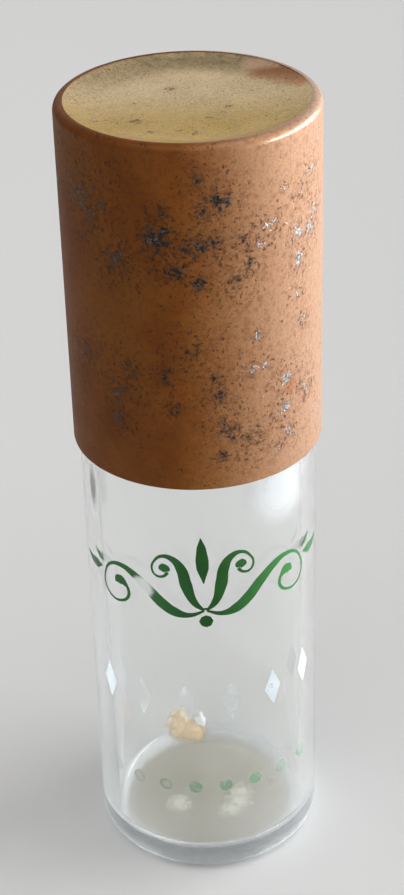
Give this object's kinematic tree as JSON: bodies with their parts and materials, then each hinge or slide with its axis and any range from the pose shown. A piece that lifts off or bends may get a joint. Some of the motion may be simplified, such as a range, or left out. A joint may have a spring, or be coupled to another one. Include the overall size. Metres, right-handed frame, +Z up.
{
  "type": "miniature perfume bottle",
  "caption": "Small round clear glass perfume bottle with a pour plug in its screw neck and a tall metal-covered screw cap with a dished top.",
  "frame": {"origin": "centre of the foot ring, on the surface the bottle stands on", "axes": "+Z up along the axis of the bottle and cap, -Y towards the printed front, +X to the right seen from the front"},
  "size_m": [0.02, 0.02, 0.0675],
  "materials": {
    "glass": "clear moulded flint glass",
    "plug_plastic": "natural low-density polyethylene, milky",
    "liner_foil": "foil facing, pressed smooth",
    "liner_board": "pulpboard",
    "inner_cap_plastic": "moulded ivory polypropylene",
    "copper_lacquer": "copper-coloured lacquer on drawn aluminium, satin, flaked in spots",
    "gold_aluminium": "gold anodised aluminium, satin, faintly pitted",
    "green_enamel": "fired printed enamel on the glass, worn in places",
    "white_enamel": "fired printed enamel on the glass, faded",
    "dried_perfume": "dried resinous residue inside the glass"
  },
  "bodies": {
    "bottle": {"glass_bottle": "glass", "pour_plug": "plug_plastic"},
    "liner": {"liner_facing": "liner_foil", "liner_backing": "liner_board"},
    "cap": {"inner_cap": "inner_cap_plastic", "cap_sleeve": "copper_lacquer", "cap_top_disc": "gold_aluminium"}
  },
  "joints": [
    {"name": "cap_lift", "type": "slide", "parent": "bottle", "child": "liner", "axis": [0, 0, 1], "range_m": [0, 0.0142]},
    {"name": "cap_turn", "type": "hinge", "parent": "liner", "child": "cap", "pos_m": [0, 0, 0.0534], "axis": [0, 0, 1], "range_deg": [0, 2412]}
  ],
  "couplings": [
    {"joint": "cap_lift", "follows": "cap_turn", "m_per_rad": 0.00033693}
  ]
}
